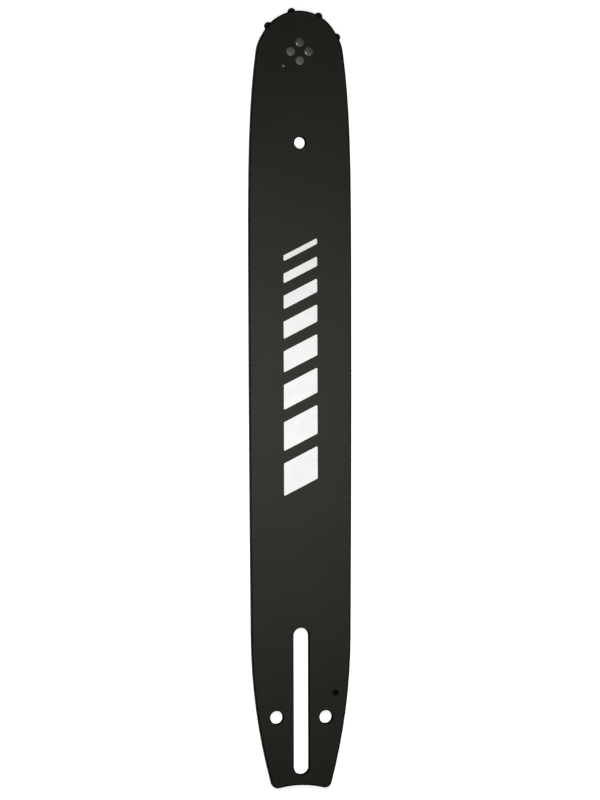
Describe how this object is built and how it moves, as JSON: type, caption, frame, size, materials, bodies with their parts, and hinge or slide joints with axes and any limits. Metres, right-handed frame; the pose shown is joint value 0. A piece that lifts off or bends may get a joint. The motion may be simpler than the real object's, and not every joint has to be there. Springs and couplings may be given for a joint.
{
  "type": "chainsaw guide bar",
  "caption": "Flat laminated chainsaw guide bar with a chain groove between its rails, a stud slot, adjuster holes and oil inlets at the tail, and a toothed nose sprocket on rollers.",
  "frame": {"origin": "centre of the stud slot, on the bar's back face", "axes": "+Y along the bar from the tail to the nose, +Z out of the front face, +X across the bar; it lies on its back face at z = 0"},
  "size_m": [0.0536, 0.4025, 0.0041],
  "materials": {
    "bar_paint": "satin olive-black paint",
    "sprocket_steel": "blackened hardened steel",
    "bearing_steel": "ground bearing steel",
    "rivet_steel": "bare ground steel"
  },
  "bodies": {
    "bar": {"front_side_plate": "bar_paint", "back_side_plate": "bar_paint", "core_plate": "bar_paint", "bearing_inner_race": "bearing_steel", "nose_rivets": "rivet_steel"},
    "sprocket": {"nose_sprocket": "sprocket_steel"},
    "rollers": {"bearing_roller_01": "bearing_steel", "bearing_roller_02": "bearing_steel", "bearing_roller_03": "bearing_steel", "bearing_roller_04": "bearing_steel", "bearing_roller_05": "bearing_steel", "bearing_roller_06": "bearing_steel", "bearing_roller_07": "bearing_steel", "bearing_roller_08": "bearing_steel", "bearing_roller_09": "bearing_steel", "bearing_roller_10": "bearing_steel", "bearing_roller_11": "bearing_steel", "bearing_roller_12": "bearing_steel", "bearing_roller_13": "bearing_steel", "bearing_roller_14": "bearing_steel", "bearing_roller_15": "bearing_steel", "bearing_roller_16": "bearing_steel", "bearing_roller_17": "bearing_steel", "bearing_roller_18": "bearing_steel", "bearing_roller_19": "bearing_steel"}
  },
  "joints": [
    {"name": "sprocket_spin", "type": "hinge", "parent": "bar", "child": "sprocket", "pos_m": [0, 0.335, 0.00208], "axis": [0, 0, 1], "continuous": true},
    {"name": "roller_orbit", "type": "hinge", "parent": "bar", "child": "rollers", "pos_m": [0, 0.335, 0.00208], "axis": [0, 0, 1], "continuous": true}
  ],
  "couplings": [
    {"joint": "roller_orbit", "follows": "sprocket_spin", "ratio": 0.58261}
  ]
}
